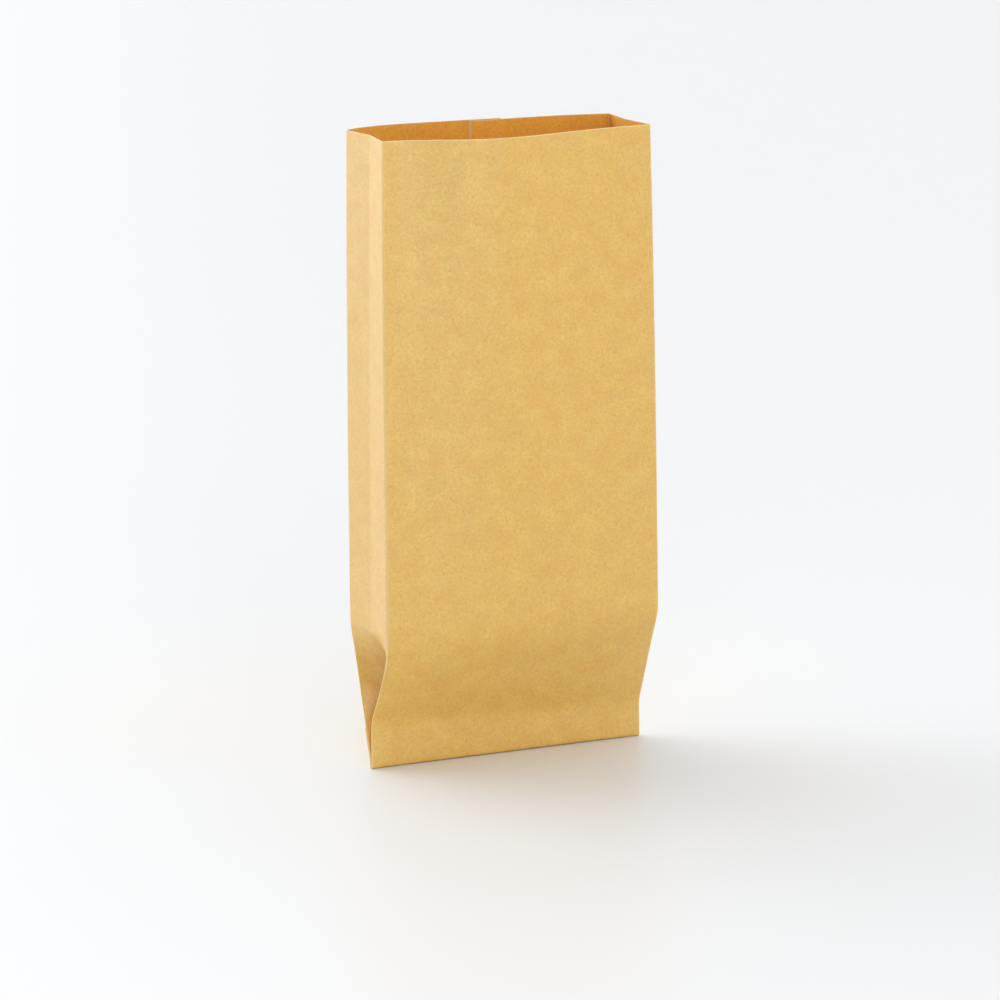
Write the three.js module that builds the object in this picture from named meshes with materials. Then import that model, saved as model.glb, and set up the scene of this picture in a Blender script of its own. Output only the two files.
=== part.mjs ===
// Kraft paper bag: one sheet of brown paper glued into a side-gusseted tube, standing open on its folded foot.
//
// Millimetres, +Z up. The front panel faces -Y and the left gusset faces -X. The origin is on the floor, under
// the middle of the bag's box. The bag is one piece of paper, so it is one closed solid: an outer face, an inner
// face one wall inside it, the rim that joins them, a foot where all layers lie together, and the floor of the
// hollow above that foot.
import * as THREE from "three";

// ---------------------------------------------------------------------------------------------------------
// Driving dimensions

const PANEL_WIDTH = 140; // front and back panel, crease to crease, measured along the paper
const GUSSET_WIDTH = 48; // each side gusset, opened flat
const BAG_HEIGHT = 300; // floor to rim
const WALL = 0.4; // the paper's wall

const FRONT_BOW = 14.3; // the mouth's front edge stands this far forward of its two creases
const FRONT_BOW_SHIFT = 0.18; // and is fullest a little to the left of the middle
const BACK_BOW = 8.6; // and its back edge this far behind them
const MOUTH_DRAWN_IN = 3.2; // the two bows draw the creases in by this much at each side of the mouth
const BACK_BOW_LEAN = 0.47; // share by which the back's bow is fuller on the left than on the right

const FOOT_FRONT = -2.1; // y of the foot's front edge, seen from the middle between the upper creases
const FOOT_DEPTH = { middle: 7, ends: 2 }; // the bag stands on it; its layers lie closest at the corners

const TWIST = 1.35; // degrees that the lower bag is turned against the mouth, its right end to the back
const TWIST_TOP = 110; // below this height the twist is whole, and above it it fades towards the mouth

// The front panel stands upright as a strip above the foot, then leans out to its shoulder and is upright again.
const STRIP_TOP = { left: 22.5, right: 18 };
const STRIP_SOFTNESS = 3; // height over which the bend at the strip's top is rounded, to each side
const FRONT_SHOULDER = { left: 59.5, right: 66 };
const FRONT_SHOULDER_SOFTNESS = { left: 11, right: 4.5 };
// The back panel leans out from just above the floor.
const BACK_LEAN_START = 3;
const BACK_SHOULDER = { left: 64, right: 64 };
const BACK_SHOULDER_SOFTNESS = { left: 5.5, right: 5.5 };

const CREASE_IN_MOUTH = 3; // the gussets' middle creases stand this far in at the mouth
const CREASE_IN_LEAST = 1.2; // and this far just above the tuck
const TUCK_DROP = 3.5; // the gusset starts to fold in this much lower than its corners start to close

const LAP = { left: -2, right: 15 }; // the glued lap up the back panel: two thicknesses between these
const LAP_STEP = 0.25; // one thickness of paper at the lap's two edges
const LAP_FADE = 30; // the outer sheet comes back to the panel's plane over this width
const FLAP_HEIGHT = 19; // the closed end, turned up and glued to the back panel
const FLAP_STEP = 0.4; // how far it stands proud of the back panel
const STEP_WIDTH = 0.3; // run of each such step

const HOLLOW_FLOOR = 14; // below this height the layers of the foot lie too close together for a hollow

// ---------------------------------------------------------------------------------------------------------
// Rows and columns of the surface

const PANEL_COLUMNS = 16; // faces across a panel
const FLANK_COLUMNS = 3; // faces across each half of a gusset
const LEVELS = [
  0, 5, 10, HOLLOW_FLOOR, 18, FLAP_HEIGHT, FLAP_HEIGHT + STEP_WIDTH, 22, 25, 30, 37, 44, 50, 55, 59, 62.5,
  66, 69.5, 74, 80, 92, 120, 165, 210, 255, BAG_HEIGHT,
];

const HALF_WIDTH = PANEL_WIDTH / 2;
const HALF_GUSSET = GUSSET_WIDTH / 2;

// ---------------------------------------------------------------------------------------------------------
// Helpers: `across` runs from -1 at the left creases to 1 at the right ones

const mix = (a, b, share) => a + (b - a) * share;
const leftToRight = (value, across) => mix(value.left, value.right, (across + 1) / 2);

// 0 before the corner and x after it, with the corner rounded over `soft` to each side.
function bend(x, soft) {
  if (x <= -soft) return 0;
  if (x >= soft) return x;
  return (x + soft) ** 2 / (4 * soft);
}

// Rises from 0 at `from` to 1 at `to`, with both bends rounded.
function ramp(z, from, to, softFrom, softTo) {
  return (bend(z - from, softFrom) - bend(z - to, softTo)) / (to - from);
}

// The bow of the panels is whole at the mouth and fades to nothing at the foot strip.
const bowShare = (z) => Math.max(0, (z - FLAP_HEIGHT) / (BAG_HEIGHT - FLAP_HEIGHT));
const frontBulge = (across) => (1 + Math.cos(Math.PI * (across + FRONT_BOW_SHIFT * (1 - across ** 2)))) / 2;
const backBulge = (across) => (1 - across ** 4) * (1 - BACK_BOW_LEAN * across);

// A bowed panel of paper is narrower from crease to crease than a flat one.
const halfWidthAt = (z) => HALF_WIDTH - MOUTH_DRAWN_IN * bowShare(z) ** 2;

// The gussets' middle creases stand in a little more towards the mouth.
const looseCrease = (z) => mix(CREASE_IN_LEAST, CREASE_IN_MOUTH, z / BAG_HEIGHT);
const openHalfDepth = (z) => Math.sqrt(HALF_GUSSET ** 2 - looseCrease(z) ** 2);

const footBack = (across) => FOOT_FRONT + mix(FOOT_DEPTH.middle, FOOT_DEPTH.ends, across ** 4);

// The whole outline at one height is turned by this angle.
const twistAt = (z) =>
  THREE.MathUtils.degToRad(TWIST) * (1 - THREE.MathUtils.smoothstep(z, TWIST_TOP, BAG_HEIGHT));

// ---------------------------------------------------------------------------------------------------------
// The four creases and the panels between them

function frontCrease(across, z) {
  const open = ramp(
    z,
    leftToRight(STRIP_TOP, across),
    leftToRight(FRONT_SHOULDER, across),
    STRIP_SOFTNESS,
    leftToRight(FRONT_SHOULDER_SOFTNESS, across),
  );
  return mix(FOOT_FRONT, -openHalfDepth(z), open);
}

function backCrease(across, z) {
  const foot = footBack(across) - FLAP_STEP;
  const open = ramp(
    z,
    BACK_LEAN_START,
    leftToRight(BACK_SHOULDER, across),
    BACK_LEAN_START,
    leftToRight(BACK_SHOULDER_SOFTNESS, across),
  );
  return mix(foot, openHalfDepth(z), open) + flapAt(z);
}

// The turned-up end stands proud of the back panel as far as its cut edge.
function flapAt(z) {
  return FLAP_STEP * (1 - THREE.MathUtils.clamp((z - FLAP_HEIGHT) / STEP_WIDTH, 0, 1));
}

const frontPanel = (across, z) => frontCrease(across, z) - FRONT_BOW * bowShare(z) * frontBulge(across);
const backPanel = (across, z) => backCrease(across, z) + BACK_BOW * bowShare(z) * backBulge(across);

// The left half of the sheet lies outside the right half. It lifts off the panel's plane as it comes to the lap
// and ends in a step at the lap's right edge.
function outerSheetLift(x) {
  if (x > LAP.right) return 0;
  return LAP_STEP * THREE.MathUtils.clamp((x - LAP.left + LAP_FADE) / LAP_FADE, 0, 1);
}

// ---------------------------------------------------------------------------------------------------------
// One gusset: how far it is tucked in, with `towards` from -1 at the front corner over 0 at the middle crease to
// 1 at the back corner. Each half keeps its width, so the closer the corners come, the further in the crease is.

function tuckAt(side, towards, z) {
  const share = 1 - Math.abs(towards);
  const level = z + TUCK_DROP * share;
  const halfDepth = (backCrease(side, level) - frontCrease(side, level)) / 2;
  const tucked = Math.sqrt(Math.max(HALF_GUSSET ** 2 - halfDepth ** 2, looseCrease(z) ** 2));
  return share * tucked;
}

function gussetPoint(side, towards, z) {
  const x = side * (halfWidthAt(z) - tuckAt(side, towards, z));
  const y = mix(frontCrease(side, z), backCrease(side, z), (towards + 1) / 2);
  return new THREE.Vector2(x, y);
}

// ---------------------------------------------------------------------------------------------------------
// Outlines at one height, counterclockwise seen from above, starting at the front left crease

function evenly(from, to, count) {
  return Array.from({ length: count }, (_, i) => mix(from, to, i / count));
}

// The back panel has an extra column at each side of the lap's two steps, in place of even ones close by.
const LAP_STEPS = [LAP.left - STEP_WIDTH, LAP.left, LAP.right, LAP.right + STEP_WIDTH];
const CLOSE_BY = 2;
const evenBackColumns = evenly(1, -1, PANEL_COLUMNS).filter((a) =>
  LAP_STEPS.every((x) => Math.abs(a * HALF_WIDTH - x) > CLOSE_BY),
);

function backColumns(z) {
  const steps = LAP_STEPS.map((x) => x / halfWidthAt(z));
  return [...evenBackColumns, ...steps].sort((a, b) => b - a);
}

function outerOutline(z) {
  const half = halfWidthAt(z);
  const front = evenly(-1, 1, PANEL_COLUMNS).map((a) => new THREE.Vector2(a * half, frontPanel(a, z)));
  const right = evenly(-1, 1, 2 * FLANK_COLUMNS).map((q) => gussetPoint(1, q, z));
  const back = backColumns(z).map(
    (a) => new THREE.Vector2(a * half, backPanel(a, z) + outerSheetLift(a * half)),
  );
  const left = evenly(1, -1, 2 * FLANK_COLUMNS).map((q) => gussetPoint(-1, q, z));
  const centre = new THREE.Vector2();
  return [...front, ...right, ...back, ...left].map((point) => point.rotateAround(centre, twistAt(z)));
}

// The same outline one wall further in: each point moves along the mitre of the two sides that meet there.
function innerOutline(z) {
  const outer = outerOutline(z);
  const inward = outer.map((point, i) => {
    const next = outer[(i + 1) % outer.length];
    const along = next.clone().sub(point).normalize();
    return new THREE.Vector2(-along.y, along.x);
  });
  return outer.map((point, i) => {
    const before = inward[(i + inward.length - 1) % inward.length];
    const mitre = before.clone().add(inward[i]).divideScalar(1 + before.dot(inward[i]));
    return point.clone().addScaledVector(mitre, WALL);
  });
}

// ---------------------------------------------------------------------------------------------------------
// The closed surface

const positions = [];
const triangles = [];

function addRing(outline, z) {
  const first = positions.length / 3;
  for (const point of outline) positions.push(point.x, point.y, z);
  return outline.map((_, i) => first + i);
}

// A band of faces from one ring to the next; its outside is on the right of the walk round the ring.
function addBand(lower, upper) {
  lower.forEach((a, i) => {
    const j = (i + 1) % lower.length;
    triangles.push(a, lower[j], upper[j], a, upper[j], upper[i]);
  });
}

function addCap(ring, outline, facesUp) {
  for (const [a, b, c] of THREE.ShapeUtils.triangulateShape(outline, [])) {
    triangles.push(...(facesUp ? [ring[a], ring[b], ring[c]] : [ring[a], ring[c], ring[b]]));
  }
}

const outerRings = LEVELS.map((z) => addRing(outerOutline(z), z));
for (let k = 1; k < outerRings.length; k++) addBand(outerRings[k - 1], outerRings[k]);
addCap(outerRings[0], outerOutline(0), false);

const hollowLevels = LEVELS.filter((z) => z >= HOLLOW_FLOOR);
const innerRings = hollowLevels.map((z) => addRing(innerOutline(z), z));
for (let k = 1; k < innerRings.length; k++) addBand(innerRings[k], innerRings[k - 1]);
addCap(innerRings[0], innerOutline(HOLLOW_FLOOR), true);

addBand(outerRings.at(-1), innerRings.at(-1)); // the rim

const geometry = new THREE.BufferGeometry();
geometry.setAttribute("position", new THREE.Float32BufferAttribute(positions, 3));
geometry.setIndex(triangles);
geometry.computeBoundingBox();
const middle = geometry.boundingBox.getCenter(new THREE.Vector3());
geometry.translate(-middle.x, -middle.y, 0);
geometry.computeVertexNormals();

// ---------------------------------------------------------------------------------------------------------
// The bag

const kraftPaper = new THREE.MeshStandardMaterial({ color: "#dcb56c", roughness: 0.62, metalness: 0 });
const paperBag = new THREE.Mesh(geometry, kraftPaper);
paperBag.name = "paper_bag";

const bag = new THREE.Group();
bag.add(paperBag);

export default bag;
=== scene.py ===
# %% [markdown]
# # A kraft paper bag, folded from one sheet
#
# The real bag is a single sheet of brown kraft paper. A machine creases it, wraps it into a tube with a
# tucked gusset at each side, glues a lap up the back, and turns the flattened end up to close it. This
# lesson makes the same bag the same way: a flat sheet is cut into panels along its crease lines, every
# point of the sheet is then folded to its place, and only after that does the paper get its thickness.
# Because the pattern of fibres is laid on the flat sheet, it runs on round each fold, as it does on
# paper.

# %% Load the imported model
import math

import bmesh
import bpy
from mathutils import Matrix, Vector, noise


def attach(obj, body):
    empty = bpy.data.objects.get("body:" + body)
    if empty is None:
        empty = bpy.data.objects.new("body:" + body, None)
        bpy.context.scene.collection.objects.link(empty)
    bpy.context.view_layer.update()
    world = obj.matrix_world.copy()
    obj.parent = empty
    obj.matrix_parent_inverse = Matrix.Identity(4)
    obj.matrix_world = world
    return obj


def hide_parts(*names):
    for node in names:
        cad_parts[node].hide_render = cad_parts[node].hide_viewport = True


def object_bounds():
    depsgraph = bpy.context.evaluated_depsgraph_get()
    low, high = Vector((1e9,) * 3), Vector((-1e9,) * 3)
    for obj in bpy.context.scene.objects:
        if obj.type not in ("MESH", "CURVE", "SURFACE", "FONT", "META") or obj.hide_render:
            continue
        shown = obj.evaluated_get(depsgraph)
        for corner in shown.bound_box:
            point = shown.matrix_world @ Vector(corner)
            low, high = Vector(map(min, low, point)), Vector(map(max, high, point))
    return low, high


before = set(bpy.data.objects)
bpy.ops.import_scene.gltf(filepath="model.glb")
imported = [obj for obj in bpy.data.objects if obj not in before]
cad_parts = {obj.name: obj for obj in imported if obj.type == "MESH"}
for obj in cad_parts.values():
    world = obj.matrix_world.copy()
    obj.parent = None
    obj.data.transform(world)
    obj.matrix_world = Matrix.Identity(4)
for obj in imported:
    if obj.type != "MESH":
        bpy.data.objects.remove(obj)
cad_low, cad_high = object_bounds()
MM = 0.001
print("CAD box in mm:", [round(x / MM, 1) for x in (*cad_low, *cad_high)])

# %% [markdown]
# ## The camera
#
# A product photograph like this one is taken with a long lens from a few paces away, so the bag's upright
# edges stay almost parallel. The lens, the distance and the angles below were found by lining up the
# bag's corners. The camera is made first, so that everything after it can be judged in its frame.

# %% Camera
PIXELS = 1000  # the picture is square
SENSOR = 36.0  # millimetres, Blender's own full-frame width
FOCAL_PIXELS = 4500
DISTANCE = 2121 * MM
TURN = math.radians(22.14)  # the camera stands this far to the left of the front panel's normal
LOOK_DOWN = math.radians(11.82)
ROLL = math.radians(-0.73)
MIDDLE_BEHIND_FRONT = 38.0 * MM  # from the bowed front to the point midway between the four upright creases
AIM = Vector((0, cad_low.y + MIDDLE_BEHIND_FRONT, 150 * MM))
AIM_SHIFT = Vector((-1.2 * MM, -26.4 * MM))  # right and up in the picture, from AIM to the picture's middle


def place_camera():
    forward = Vector(
        (math.sin(TURN) * math.cos(LOOK_DOWN), math.cos(TURN) * math.cos(LOOK_DOWN), -math.sin(LOOK_DOWN))
    )
    level_right = Vector((math.cos(TURN), -math.sin(TURN), 0))
    level_up = level_right.cross(forward)
    right = math.cos(ROLL) * level_right + math.sin(ROLL) * level_up
    up = math.cos(ROLL) * level_up - math.sin(ROLL) * level_right
    target = AIM + right * AIM_SHIFT.x + up * AIM_SHIFT.y
    turned = Matrix((right, up, -forward)).transposed().to_4x4()
    bpy.ops.object.camera_add()
    camera = bpy.context.object
    camera.name = "camera"
    camera.matrix_world = Matrix.Translation(target - forward * DISTANCE) @ turned
    camera.data.sensor_width = SENSOR
    camera.data.lens = FOCAL_PIXELS / PIXELS * SENSOR
    camera.data.clip_end = 50
    bpy.context.scene.camera = camera
    return camera


camera = place_camera()
print("camera at", [round(x, 3) for x in camera.location], "lens", camera.data.lens)

# %% [markdown]
# ## Sizes of the paper
#
# All sizes are in millimetres on the real bag. The sheet is as wide as two panels, two gussets and the
# lap, and as high as the bag and its turned-up end.

# %% Sizes
PANEL = 140  # front and back panel, crease to crease
GUSSET = 48  # each side gusset, opened flat
HEIGHT = 300
FLAP = 19  # the closed end, turned up at the back
LAP_LEFT, LAP_RIGHT = -2, 15  # x of the glued lap's two edges on the back panel
PAPER = 0.22  # thickness; nearer 0.12 on the real bag, which would be too thin to catch the light here
GAP = 0.3  # from one layer of the folded foot to the next, middle to middle

# A pair in brackets is a value at the left side of the bag and one at the right. A softness is the distance
# over which a bend is rounded, to each side of it.
FRONT_BOW = 14.3  # how far the mouth's front edge bows out
FRONT_BOW_SHIFT = 0.18  # its crown lies to the left of the middle, as a share of half the panel
BACK_BOW = 8.6
BACK_BOW_LEAN = 0.47  # the back bows this share more at the left and less at the right
MOUTH_DRAWN_IN = 3.2  # the bows draw the creases in by this much at each side of the mouth
TWIST, TWIST_TOP = math.radians(1.35), 110  # the lower bag is turned against the mouth, fading above this
FOOT_FRONT = -1.2  # y of the front panel where it stands on the floor
FOOT_MIDDLE, FOOT_ENDS = 7.0, 2.2  # depth of the foot, at its middle and at its corners
STRIP_TOP, STRIP_SOFTNESS = (22.5, 18), 3  # the front stays upright to this height, as a strip
FRONT_SHOULDER, FRONT_SHOULDER_SOFTNESS = (59.5, 66), (11, 4.5)  # height at which the front is fully out
BACK_LEAN_START, BACK_SHOULDER, BACK_SHOULDER_SOFTNESS = 3, 64, 5.5
CREASE_IN_MOUTH, CREASE_IN_LEAST = (3, 2.1), 1.2  # how far in the gussets' middle creases stand
TUCK_DROP = 3.5  # a gusset starts to fold in this much lower than its corners start to close

HALF = PANEL / 2
HALF_GUSSET = GUSSET / 2
FOLD_RISE = 4 * GAP  # height at which the layers leave the rounded fold under the foot
FOLD_RUN = 2.0  # length of paper from the middle of that fold to its end
SHEET_TOP = HEIGHT + FOLD_RUN - FOLD_RISE
# Where the sheet's creases are, measured from the inner edge of the lap.
BACK_RIGHT = HALF - LAP_LEFT
MIDDLE_RIGHT = BACK_RIGHT + HALF_GUSSET
FRONT_RIGHT = MIDDLE_RIGHT + HALF_GUSSET
FRONT_LEFT = FRONT_RIGHT + PANEL
MIDDLE_LEFT = FRONT_LEFT + HALF_GUSSET
BACK_LEFT = MIDDLE_LEFT + HALF_GUSSET
SHEET_WIDTH = BACK_LEFT + HALF + LAP_RIGHT
CREASES = [BACK_RIGHT, MIDDLE_RIGHT, FRONT_RIGHT, FRONT_LEFT, MIDDLE_LEFT, BACK_LEFT]
# A crease isn't a knife edge: the paper turns over this length to each side, least where it is pressed flat.
TURN_AT_FOOT, TURN_LOW, TURN_AT_MOUTH = 0.4, 2.0, 1.3
CREASE_CUTS = (0.2, 0.6, 1.0, 1.5, 2.0)  # the sheet is cut this far from each crease, to each side
LEVEL_OF_SHOULDER = 62  # where the creases turn most softly
EDGE_WIDTH = 1.4  # the glued inner edge of the lap shows as a strip this wide
EDGE_CUTS = (0.35, 0.7, 1.05, EDGE_WIDTH, 2.4)
SHIFT_Y = AIM.y / MM  # y in the frame of the point midway between the four creases, where folding has y = 0
print(f"sheet {SHEET_WIDTH} x {SHEET_TOP + FLAP:.1f} mm")

# %% [markdown]
# ## The flat sheet
#
# A plane is the right start for a thing made of one sheet. It is cut by the bisect operator on both sides
# of each crease, so that every fold gets narrow strips of its own to bend in. The panels between are then
# subdivided, with the rows closest where the bag narrows to its foot.

# %% Edit-mode helpers
def edit(piece):
    bpy.ops.object.mode_set(mode="OBJECT")
    bpy.ops.object.select_all(action="DESELECT")
    piece.select_set(True)
    bpy.context.view_layer.objects.active = piece
    bpy.ops.object.mode_set(mode="EDIT")


def select_edges(piece, test):
    """Selects, in edit mode, the edges whose two ends both pass the test, and nothing else."""
    bpy.ops.mesh.select_mode(type="EDGE")
    bpy.ops.mesh.select_all(action="DESELECT")
    mesh = bmesh.from_edit_mesh(piece.data)
    chosen = [e for e in mesh.edges if test(e.verts[0].co, e.verts[1].co)]
    for e in chosen:
        e.select_set(True)
    bmesh.update_edit_mesh(piece.data)
    return len(chosen)


# %% The sheet and its crease lines
def cut(place, normal):
    bpy.ops.mesh.select_all(action="SELECT")
    bpy.ops.mesh.bisect(plane_co=place, plane_no=normal)


bpy.ops.object.select_all(action="DESELECT")
bpy.ops.mesh.primitive_plane_add(size=1, calc_uvs=True)
bag = bpy.context.object
bag.name = "kraft_paper_bag"
edit(bag)
bpy.ops.transform.resize(value=(SHEET_WIDTH * MM, (SHEET_TOP + FLAP) * MM, 1))
bpy.ops.transform.translate(value=(SHEET_WIDTH / 2 * MM, (SHEET_TOP - FLAP) / 2 * MM, 0))
for crease in CREASES:
    for distance in CREASE_CUTS:
        cut(((crease - distance) * MM, 0, 0), (1, 0, 0))
        cut(((crease + distance) * MM, 0, 0), (1, 0, 0))
for distance in EDGE_CUTS:
    cut((distance * MM, 0, 0), (1, 0, 0))
# Each band of rows: where it starts above the fold of the foot, and how many rows it gets.
ROW_BANDS = [(-FLAP, 6), (-FOLD_RUN, 8), (FOLD_RUN, 14), (30, 10), (50, 20), (75, 75), (SHEET_TOP, 0)]
for v, _ in ROW_BANDS[1:-1]:
    cut((0, v * MM, 0), (0, 1, 0))
print("sheet cut into", len(bmesh.from_edit_mesh(bag.data).faces), "faces")

# %% Columns and rows
COLUMN = 2.3  # aimed-at width of a face
SAME_PLACE = 1e-6  # metres; two lengths that differ by less are the same


def subdivide_between(axis, low, high, parts):
    """Splits every edge that runs from low to high along the axis into that many parts."""
    def spans(a, b):
        ends = sorted((a[axis], b[axis]))
        return abs(ends[0] - low * MM) < SAME_PLACE and abs(ends[1] - high * MM) < SAME_PLACE

    if parts > 1 and select_edges(bag, spans):
        bpy.ops.mesh.subdivide(number_cuts=parts - 1)


strip = CREASE_CUTS[-1]
edges_of_panels = [EDGE_CUTS[-1], *[c + side * strip for c in CREASES for side in (-1, 1)], SHEET_WIDTH]
for low, high in zip(edges_of_panels[::2], edges_of_panels[1::2]):
    subdivide_between(0, low, high, round((high - low) / COLUMN))
for (low, parts), (high, _) in zip(ROW_BANDS, ROW_BANDS[1:]):
    subdivide_between(1, low, high, parts)
bpy.ops.object.mode_set(mode="OBJECT")
print("flat sheet:", len(bag.data.polygons), "faces")

# %% [markdown]
# ## Folding
#
# A point of the sheet is known by `s`, how far it is round the bag, and `v`, how far it is above the fold
# of the foot. From these two the functions below work out where it lies on the standing bag. Higher up
# the four creases stand apart as a box with bowed panels. Towards the foot they close, and because each
# half of a gusset keeps its width, its middle crease has to move inwards: that is what makes the pocket
# at each side.

# %% Profile of the bag
def mix(a, b, share):
    return a + (b - a) * share


def clamp(x, low=0.0, high=1.0):
    return max(low, min(high, x))


def smooth(x):
    x = clamp(x)
    return x * x * (3 - 2 * x)


def left_to_right(pair, across):
    return mix(pair[0], pair[1], (across + 1) / 2)


def bend(x, soft):
    """0 before the corner and x after it, with the corner rounded over `soft` to each side."""
    if x <= -soft:
        return 0
    if x >= soft:
        return x
    return (x + soft) ** 2 / (4 * soft)


def ramp(z, start, end, soft_start, soft_end):
    """Rises from 0 at start to 1 at end, with both bends rounded."""
    return (bend(z - start, soft_start) - bend(z - end, soft_end)) / (end - start)


def bow_share(z):
    return max(0, (z - FLAP) / (HEIGHT - FLAP))


def half_width(z):
    return HALF - MOUTH_DRAWN_IN * bow_share(z) ** 2


def loose_crease(across, z):
    return mix(CREASE_IN_LEAST, left_to_right(CREASE_IN_MOUTH, across), z / HEIGHT)


def open_half_depth(across, z):
    return math.sqrt(HALF_GUSSET**2 - loose_crease(across, z) ** 2)


def foot_back(across):
    """Where the back panel starts, with the layers of the turned-up end still behind it."""
    return FOOT_FRONT + mix(FOOT_MIDDLE, FOOT_ENDS, across**4) - 4 * GAP


COCKLE, COCKLE_WIDTH, COCKLE_HEIGHT = 0.9, 45, 70  # paper is never quite flat: long, low waves
OTHER_PANEL = 10  # a step through the noise field, so that no two panels have the same waves
COCKLE_START, COCKLE_RISE = 25, 50  # they begin above the foot
CALM = 0.25  # share of half a panel, next to each crease, over which the waves die away


def cockle(across, z, panel):
    """The wave's height on that panel; `across` runs from -1 at one of its creases to 1 at the other."""
    wave = noise.noise(Vector((across * HALF / COCKLE_WIDTH, z / COCKLE_HEIGHT, OTHER_PANEL * panel)))
    return COCKLE * wave * smooth((1 - abs(across)) / CALM) * smooth((z - COCKLE_START) / COCKLE_RISE)


def front_opening(across, z):
    return ramp(
        z,
        left_to_right(STRIP_TOP, across),
        left_to_right(FRONT_SHOULDER, across),
        STRIP_SOFTNESS,
        left_to_right(FRONT_SHOULDER_SOFTNESS, across),
    )


def back_opening(z):
    return ramp(z, BACK_LEAN_START, BACK_SHOULDER, BACK_LEAN_START, BACK_SHOULDER_SOFTNESS)


def front_crease(across, z):
    return mix(FOOT_FRONT, -open_half_depth(across, z), front_opening(across, z))


def back_crease(across, z):
    return mix(foot_back(across), open_half_depth(across, z), back_opening(z))


def front_y(across, z):
    bulge = (1 + math.cos(math.pi * (across + FRONT_BOW_SHIFT * (1 - across**2)))) / 2
    return front_crease(across, z) - FRONT_BOW * bow_share(z) * bulge - cockle(across, z, 1)


def back_y(across, z):
    bulge = (1 - across**4) * (1 - BACK_BOW_LEAN * across)
    return back_crease(across, z) + BACK_BOW * bow_share(z) * bulge + cockle(across, z, 2)


# %% Where each point of the sheet goes
LAP_FADE = 30  # the sheets of the lap come back to the panel's plane over this width
EDGE_LIFT, EDGE_FADE = 0.8, 20  # beside the glued edge the inner sheet lifts off by this, and fades over that
EDGE_LIFT_RISE = 10  # the lift comes in over this height above the flap
RIM_STEP = 0.5  # the right-hand sheet's rim ends this much lower at the lap
RIM_STEP_RUN = 0.8  # share of the way from that edge of the lap to the corner, where the rim is level again
# The layers of the foot are counted from the front panel, 0, to the back panel, 3. The turned-up end goes on
# from 4 to 7 in the reverse order.
BACK_LAYER = 3
FIRST_FLAP_LAYER, LAST_FLAP_LAYER = 4, 7
LAP_LAYERS = 2  # how much further out the flap lies over the doubled lap


def gusset_point(side, towards, z):
    """towards: -1 at the front corner, 0 at the middle crease, 1 at the back corner."""
    share = 1 - abs(towards)
    level = z + TUCK_DROP * share
    front, back = front_crease(side, z), back_crease(side, z)
    half_depth = (back_crease(side, level) - front_crease(side, level)) / 2
    tucked = math.sqrt(max(HALF_GUSSET**2 - half_depth**2, loose_crease(side, z) ** 2))
    x = side * (half_width(z) - share * tucked)
    apart = GAP * (1 - front_opening(side, z))
    middle = (front + back) / 2
    if towards < 0:
        return x, mix(front + apart, middle - apart / 2, share)
    return x, mix(back - apart, middle + apart / 2, share)


def wall_point(s, z):
    """(x, y, order) at height z: order counts the layers of the foot from the front."""
    if s <= BACK_RIGHT:
        x = LAP_LEFT + s
        lift = EDGE_LIFT * smooth(s / EDGE_WIDTH) * (1 - smooth((s - EDGE_WIDTH) / EDGE_FADE))
        return x, back_y(x / HALF, z) - lift * smooth((z - FLAP) / EDGE_LIFT_RISE), BACK_LAYER
    if s < FRONT_RIGHT:
        towards = 1 - (s - BACK_RIGHT) / HALF_GUSSET
        return *gusset_point(1, towards, z), 2 if towards > 0 else 1
    if s <= FRONT_LEFT:
        across = 1 - 2 * (s - FRONT_RIGHT) / PANEL
        return across * half_width(z), front_y(across, z), 0
    if s < BACK_LEFT:
        towards = (s - FRONT_LEFT) / HALF_GUSSET - 1
        return *gusset_point(-1, towards, z), 2 if towards > 0 else 1
    x = -HALF + s - BACK_LEFT
    lift = GAP * smooth((x - LAP_LEFT + LAP_FADE) / LAP_FADE)
    return x, back_y(x / HALF, z) + lift, BACK_LAYER


def squeeze_x(x, s, z):
    """The back panel's points keep their share of the panel's width, as the front panel's do."""
    if BACK_RIGHT < s < BACK_LEFT:
        return x
    return x * half_width(z) / HALF


def flap_order(s, x, order):
    """Layers of the turned-up end, counted from the back panel outwards, come in the reverse order."""
    if s <= BACK_RIGHT:
        return FIRST_FLAP_LAYER + LAP_LAYERS * (1 - smooth((x - LAP_RIGHT) / LAP_FADE))
    if s >= BACK_LEFT:
        return FIRST_FLAP_LAYER + smooth((x - LAP_LEFT + LAP_FADE) / LAP_FADE)
    return LAST_FLAP_LAYER - order


def sharply_folded(s, v):
    """The place in millimetres of the sheet's point (s, v), with knife-edge creases and no twist."""
    z = FOLD_RISE + abs(v) - FOLD_RUN
    x, y, order = wall_point(s, max(z, 0))
    x = squeeze_x(x, s, max(z, 0))
    if v >= FOLD_RUN:
        if s <= BACK_RIGHT:
            z -= RIM_STEP * smooth(1 - s / (BACK_RIGHT * RIM_STEP_RUN)) * bow_share(z)
        return x, y, z
    behind = back_y(x / HALF, max(z, 0)) + (flap_order(s, x, order) - BACK_LAYER) * GAP
    if v <= -FOLD_RUN:
        return x, behind, z
    turn = v / FOLD_RUN * math.pi / 2
    radius = FOLD_RISE - PAPER / 2 - order * GAP
    y = mix(behind, y, (1 + math.sin(turn)) / 2)
    return x, y, FOLD_RISE - radius * math.cos(turn)


# %% Soft creases, the twist, and the fold itself
SAMPLES = 8  # points averaged to round a crease


def crease_turn(v):
    """The length of paper that a crease takes up, to each side, at that height on the sheet."""
    if abs(v) < LEVEL_OF_SHOULDER:
        return mix(TURN_AT_FOOT, TURN_LOW, smooth(abs(v) / LEVEL_OF_SHOULDER))
    return mix(TURN_LOW, TURN_AT_MOUTH, clamp((v - LEVEL_OF_SHOULDER) / (HEIGHT - LEVEL_OF_SHOULDER)))


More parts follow.
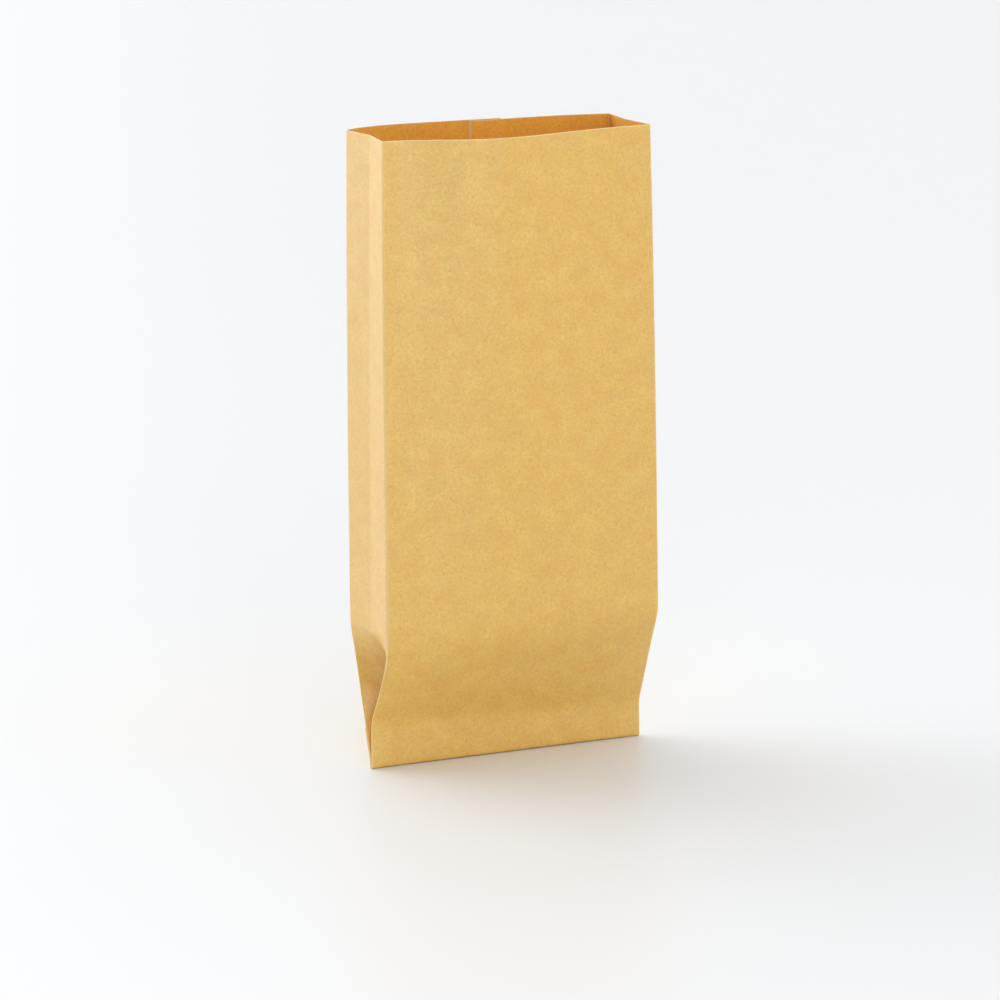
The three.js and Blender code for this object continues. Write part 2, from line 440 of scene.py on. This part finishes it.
def folded(s, v):
    """As above, but near a crease it is the mean of the points round it, which rounds the corner."""
    turn = crease_turn(v)
    if min(abs(s - crease) for crease in CREASES) >= turn:
        x, y, z = sharply_folded(s, v)
    else:
        steps = [turn * (2 * (k + 0.5) / SAMPLES - 1) for k in range(SAMPLES)]
        points = [Vector(sharply_folded(s + step, v)) for step in steps]
        x, y, z = sum(points, Vector()) / SAMPLES
    angle = TWIST * (1 - smooth((z - TWIST_TOP) / (HEIGHT - TWIST_TOP)))
    return Matrix.Rotation(angle, 3, "Z") @ Vector((x, y, z))


for point in bag.data.vertices:
    x, y, z = folded(point.co.x / MM, point.co.y / MM)
    point.co = (x * MM, (y + SHIFT_Y) * MM, z * MM)
bag.data.update()
print("folded:", [round(x / MM, 1) for x in bag.dimensions])

# %% [markdown]
# ## The paper's thickness
#
# Until now the sheet has had no thickness. Solidify gives it one, to both sides of the folded surface, so
# the layers keep their distance. It also marks the outer side and the cut edges as materials of their
# own: kraft paper is glazed on one side only, and shows its pale raw fibre where it is cut.

# %% Thickness and shading
def apply_modifiers(piece):
    bpy.ops.object.select_all(action="DESELECT")
    piece.select_set(True)
    bpy.context.view_layer.objects.active = piece
    for modifier in list(piece.modifiers):
        bpy.ops.object.modifier_apply(modifier=modifier.name)


for name in ("unglazed", "glazed", "cut"):  # the flat sheet lay with its glazed face down
    bag.data.materials.append(bpy.data.materials.new(name))
thickness = bag.modifiers.new("paper thickness", "SOLIDIFY")
thickness.thickness = PAPER * MM
thickness.offset = 0
thickness.use_even_offset = False
thickness.material_offset = 1
thickness.material_offset_rim = 2
apply_modifiers(bag)
SHARP = math.radians(35)  # a corner sharper than this keeps its edge
bpy.ops.object.shade_smooth_by_angle(angle=SHARP)
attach(bag, "root")
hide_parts("paper_bag")
print("bag:", len(bag.data.polygons), "faces")

# %% [markdown]
# ## Kraft paper
#
# Kraft pulp is cooked from softwood with long fibres and is left unbleached, which gives the golden
# brown. Seen close, it is never one colour: the fibres settle unevenly into soft clouds a centimetre or
# so across, some a little redder and some greyer, single fibres a few millimetres long lie darker or
# paler than the rest in all directions, and here and there a speck of bark is left. One face is glazed
# against a hot cylinder and has a soft shine; the other stays matt and looks deeper, partly in its own
# colour and partly with a painted glow of the light that comes through the thin paper and bounces inside
# the bag.
#
# The pattern is laid on the sheet's own UV map, scaled to millimetres, so a fibre runs on round each
# fold.

# %% Colour and node helpers
def linear(hex_colour):
    """An sRGB hex value as the linear colour that a shader works in."""
    channels = [int(hex_colour[i : i + 2], 16) / 255 for i in (1, 3, 5)]
    return (*[c / 12.92 if c <= 0.04045 else ((c + 0.055) / 1.055) ** 2.4 for c in channels], 1)


def add_node(tree, kind, inputs=None, output=0, **settings):
    """Adds a node, sets or links each of its inputs, and gives back the output of that number."""
    node = tree.nodes.new(kind)
    for name, value in settings.items():
        setattr(node, name, value)
    for socket, value in (inputs or {}).items():
        if isinstance(value, bpy.types.NodeSocket):
            tree.links.new(value, node.inputs[socket])
        else:
            node.inputs[socket].default_value = value
    return node.outputs[output]


# %% Patterns of the paper: each is 0 where it doesn't show and 1 where it shows most
def clouds(tree, place, size, seed, low, high, detail=2):
    """Soft patches of that size in millimetres."""
    moved = add_node(tree, "ShaderNodeMapping", {"Vector": place, "Location": (seed * 37, seed * 53, 0)})
    field = add_node(tree, "ShaderNodeTexNoise", {"Vector": moved, "Scale": 1 / size, "Detail": detail})
    return add_node(tree, "ShaderNodeMapRange", {"Value": field, "From Min": low, "From Max": high})


def fibres(tree, place, angle, length, width, seed, low, high):
    """Short strokes of that length and width in millimetres, lying at that angle."""
    rotation = (0, 0, math.radians(angle))
    at_angle = {"Vector": place, "Location": (seed * 31, seed * 17, 0), "Rotation": rotation}
    turned = add_node(tree, "ShaderNodeMapping", at_angle)
    stretched = add_node(tree, "ShaderNodeMapping", {"Vector": turned, "Scale": (1 / length, 1 / width, 1)})
    strokes = {"Vector": stretched, "Scale": 1, "Detail": 1, "Distortion": 0.5}
    field = add_node(tree, "ShaderNodeTexNoise", strokes)
    return add_node(tree, "ShaderNodeMapRange", {"Value": field, "From Min": low, "From Max": high})


LEAST_CHANCE = 0.6  # a cell whose random value is below this holds no speck


def specks(tree, place, spacing, size):
    """Sparse dots: at most one in each cell of a random grid, of a random size."""
    cell = {"Vector": place, "Scale": 1 / spacing}
    chance = add_node(tree, "ShaderNodeTexVoronoi", cell, output=1)
    size_of_dot = {"Value": chance, "From Min": LEAST_CHANCE, "From Max": 1, "To Max": size / spacing}
    radius = add_node(tree, "ShaderNodeMapRange", size_of_dot)
    distance = add_node(tree, "ShaderNodeTexVoronoi", cell)
    return add_node(tree, "ShaderNodeMapRange", {"Value": distance, "From Min": radius, "From Max": 0})


# %% [markdown]
# Both faces take the same patterns, in layers over two tones of the pulp. The glazed face is the yellower
# one. The last three layers are thin pale lines: a painted highlight along the four corner folds, where
# the rounded paper catches the light, a painted highlight just under the rim, where the cut edge catches
# it, and a pale strip along the lap's inner edge. The gussets' middle folds turn the other way, and get none.

# %% Kraft paper, glazed and unglazed
UV_SIZE = (SHEET_WIDTH, SHEET_TOP + FLAP, 1)
RIM_HIGHLIGHT = 0.45  # width in mm of the painted highlight just under the rim
FOLD_HIGHLIGHT = 1.0  # half the width in mm of the painted highlight along each corner fold
FULL_AT_FOLD, FULL_AT_LAP = 0.4, 0.7  # share of its width at which the painted fold highlight and the lap's pale edge strip are palest
CORNER_FOLDS = (BACK_RIGHT, FRONT_RIGHT, FRONT_LEFT, BACK_LEFT)
COLOUR_A, COLOUR_B, MIXED = 6, 7, 2  # a Mix node's colour sockets, which share their names with others
# The pale tone is that of the pale fibres, and also of the painted highlights along the corner folds and
# under the rim.
PALE_FIBRE_AND_HIGHLIGHT, DARK_FIBRE, BARK = "#f0d596", "#c48a35", "#7a5428"


def kraft_paper(material, name, pale, deep, warm, grey, roughness, specular, relief):
    material.name = name
    material.use_nodes = True
    tree = material.node_tree
    shader = tree.nodes["Principled BSDF"]
    uv = add_node(tree, "ShaderNodeUVMap", uv_map="UVMap")
    place = add_node(tree, "ShaderNodeMapping", {"Vector": uv, "Scale": UV_SIZE})
    across = add_node(tree, "ShaderNodeSeparateXYZ", {"Vector": place}, output=0)
    upwards = add_node(tree, "ShaderNodeSeparateXYZ", {"Vector": place}, output=1)
    # the painted highlight just under the rim
    rim = {"Value": upwards, "From Min": UV_SIZE[1] - RIM_HIGHLIGHT, "From Max": UV_SIZE[1] - RIM_HIGHLIGHT / 2}
    # a pale strip along the lap's inner edge
    lap_edge = {"Value": across, "From Min": EDGE_WIDTH, "From Max": EDGE_WIDTH * FULL_AT_LAP}
    # distance to the nearest corner fold, for the painted highlight along it
    to_crease = SHEET_WIDTH
    for crease in CORNER_FOLDS:
        past = add_node(tree, "ShaderNodeMath", {0: across, 1: crease}, operation="SUBTRACT")
        distance = add_node(tree, "ShaderNodeMath", {0: past}, operation="ABSOLUTE")
        to_crease = add_node(tree, "ShaderNodeMath", {0: to_crease, 1: distance}, operation="MINIMUM")
    fold_highlight = {"Value": to_crease, "From Min": FOLD_HIGHLIGHT, "From Max": FOLD_HIGHLIGHT * FULL_AT_FOLD}
    grain = clouds(tree, place, size=1.5, seed=8, low=0.35, high=0.65, detail=1)
    pale_fibres = fibres(tree, place, 45, 3.2, 0.5, 6, 0.60, 0.76)
    layers = [
        (deep, 0.8, clouds(tree, place, size=10, seed=1, low=0.35, high=0.65, detail=3)),
        (warm, 0.38, clouds(tree, place, size=9, seed=2, low=0.46, high=0.70, detail=4)),
        (grey, 0.16, clouds(tree, place, size=12, seed=3, low=0.48, high=0.70)),
        (DARK_FIBRE, 0.18, grain),
        (DARK_FIBRE, 0.45, fibres(tree, place, 15, 2.8, 0.42, 4, 0.57, 0.72)),
        (DARK_FIBRE, 0.45, fibres(tree, place, 75, 2.4, 0.42, 10, 0.58, 0.73)),
        (DARK_FIBRE, 0.45, fibres(tree, place, 130, 2.6, 0.42, 5, 0.57, 0.72)),
        (PALE_FIBRE_AND_HIGHLIGHT, 0.22, pale_fibres),
        (PALE_FIBRE_AND_HIGHLIGHT, 0.22, fibres(tree, place, 100, 3.4, 0.5, 7, 0.60, 0.76)),
        (BARK, 0.7, specks(tree, place, spacing=15, size=0.8)),
        # painted highlights along the corner folds and just under the rim, then the lap's pale edge strip
        (PALE_FIBRE_AND_HIGHLIGHT, 0.5, add_node(tree, "ShaderNodeMapRange", fold_highlight)),
        (PALE_FIBRE_AND_HIGHLIGHT, 0.8, add_node(tree, "ShaderNodeMapRange", rim)),
        (PALE_FIBRE_AND_HIGHLIGHT, 0.8, add_node(tree, "ShaderNodeMapRange", lap_edge)),
    ]
    colour = linear(pale)
    for tone, strength, factor in layers:
        share = add_node(tree, "ShaderNodeMath", {0: factor, 1: strength}, operation="MULTIPLY")
        colours = {0: share, COLOUR_A: colour, COLOUR_B: linear(tone)}
        colour = add_node(tree, "ShaderNodeMix", colours, output=MIXED, data_type="RGBA")
    tree.links.new(colour, shader.inputs["Base Color"])
    shader.inputs["Roughness"].default_value = roughness
    shader.inputs["Specular IOR Level"].default_value = specular
    height = add_node(tree, "ShaderNodeMath", {0: pale_fibres, 1: grain}, operation="ADD")
    bump = add_node(tree, "ShaderNodeBump", {"Height": height, "Distance": relief * MM, "Strength": 1})
    tree.links.new(bump, shader.inputs["Normal"])
    print(name, "has", len(tree.nodes), "nodes")


unglazed, glazed, cut_edge = bag.data.materials
# Pressed smooth against a hot cylinder: to the eye a soft shine, strong only at a low angle.
glazed_tones = ("#e5bc59", "#ddb14e", "#e0a241", "#cdb26a")
kraft_paper(glazed, "machine-glazed kraft", *glazed_tones, roughness=0.42, specular=1.0, relief=0.012)
# Dried without that pressing: to the eye matt and rougher. Its tones are deeper and more saturated, partly
# its own colour and partly a painted glow of light through the thin paper and bounced inside the bag.
unglazed_and_glow_tones = ("#f3b54c", "#ecaa3e", "#efa73c", "#e3ac4e")
kraft_paper(unglazed, "unglazed kraft with painted glow", *unglazed_and_glow_tones, roughness=0.8, specular=0.2, relief=0.03)

# %% [markdown]
# A cut edge is a cross-section of the sheet: the fibres end there without any glaze, so it is paler and
# quite matt. It is only a fifth of a millimetre wide, and with the painted highlight just under the rim it
# draws the thin light line round the mouth.

# %% Cut kraft edge
cut_edge.name = "cut kraft edge"
cut_edge.use_nodes = True
cut_tree = cut_edge.node_tree
cut_shader = cut_tree.nodes["Principled BSDF"]
cut_uv = add_node(cut_tree, "ShaderNodeUVMap", uv_map="UVMap")
cut_place = add_node(cut_tree, "ShaderNodeMapping", {"Vector": cut_uv, "Scale": UV_SIZE})
ragged = clouds(cut_tree, cut_place, size=0.8, seed=9, low=0.35, high=0.65)
cut_colours = {0: ragged, COLOUR_A: linear("#f8e4ba"), COLOUR_B: linear("#ecce92")}
cut_colour = add_node(cut_tree, "ShaderNodeMix", cut_colours, output=MIXED, data_type="RGBA")
cut_tree.links.new(cut_colour, cut_shader.inputs["Base Color"])
cut_shader.inputs["Roughness"].default_value = 0.9
print("materials:", [m.name for m in bag.data.materials])

# %% [markdown]
# ## Tabletop and light
#
# The bag stands on a pale satin tabletop in a white room, and most of the light comes evenly from all of
# it. A large softbox in front lights the front panel softly. A window at the back left is brighter than
# the walls: glazed paper seen at a low angle mirrors it, which is why the gusset looks creamy beside the
# front. A black screen at the front left keeps the tucked gusset deep in colour.

# %% Tabletop
bpy.ops.object.select_all(action="DESELECT")
TABLETOP = 30  # metres, far past the picture's edges, so that no horizon shows
bpy.ops.mesh.primitive_plane_add(size=TABLETOP)
tabletop = bpy.context.object
tabletop.name = "tabletop"
# Sprayed and left satin: to the eye near white, with a blurred reflection of the bag's foot.
lacquer = bpy.data.materials.new("pale satin lacquer")
lacquer.use_nodes = True
lacquer_shader = lacquer.node_tree.nodes["Principled BSDF"]
lacquer_shader.inputs["Base Color"].default_value = linear("#e5e6e6")
lacquer_shader.inputs["Roughness"].default_value = 0.42
lacquer_shader.inputs["Specular IOR Level"].default_value = 0.3
tabletop.data.materials.append(lacquer)

# %% Light
def add_softbox(name, place, size, power):
    """A square area light that faces the middle of the bag."""
    aim = Vector((0, 0, HEIGHT / 2 * MM)) - Vector(place)
    bpy.ops.object.light_add(type="AREA", location=place, rotation=aim.to_track_quat("-Z", "Y").to_euler())
    light = bpy.context.object
    light.name = name
    light.data.size = size
    light.data.energy = power
    light.visible_camera = False
    return light


add_softbox("front softbox", place=(-0.5, -2.2, 0.6), size=1.6, power=15)
ROOM_BRIGHTNESS = 1.04
studio = bpy.data.worlds.new("white room")
studio.use_nodes = True
world_tree = studio.node_tree
room = world_tree.nodes["Background"]
room.inputs["Color"].default_value = linear("#f8f9fb")
# Two parts of the room differ from the rest: towards where they lie, within how many degrees of it they are
# whole and where they end, and how bright they are.
ROOM_PARTS = [
    ((-0.92, -0.4, 0.1), 28, 55, 0.03),  # a black screen at the front left
    ((-0.55, 0.83, 0.0), 30, 55, 3.9),  # a window at the back left
]
direction = add_node(world_tree, "ShaderNodeTexCoord")  # in a world: the direction in which a ray leaves
strength = ROOM_BRIGHTNESS
for towards, whole, ends, brightness in ROOM_PARTS:
    aim = {0: direction, 1: Vector(towards).normalized()}
    nearness = add_node(world_tree, "ShaderNodeVectorMath", aim, output=1, operation="DOT_PRODUCT")
    part = {
        "Value": nearness,
        "From Min": math.cos(math.radians(ends)),
        "From Max": math.cos(math.radians(whole)),
        "To Min": 1,
        "To Max": brightness,
    }
    gain = add_node(world_tree, "ShaderNodeMapRange", part, interpolation_type="SMOOTHSTEP")
    strength = add_node(world_tree, "ShaderNodeMath", {0: strength, 1: gain}, operation="MULTIPLY")
world_tree.links.new(strength, room.inputs["Strength"])
bpy.context.scene.world = studio
bpy.context.scene.view_settings.view_transform = "Standard"
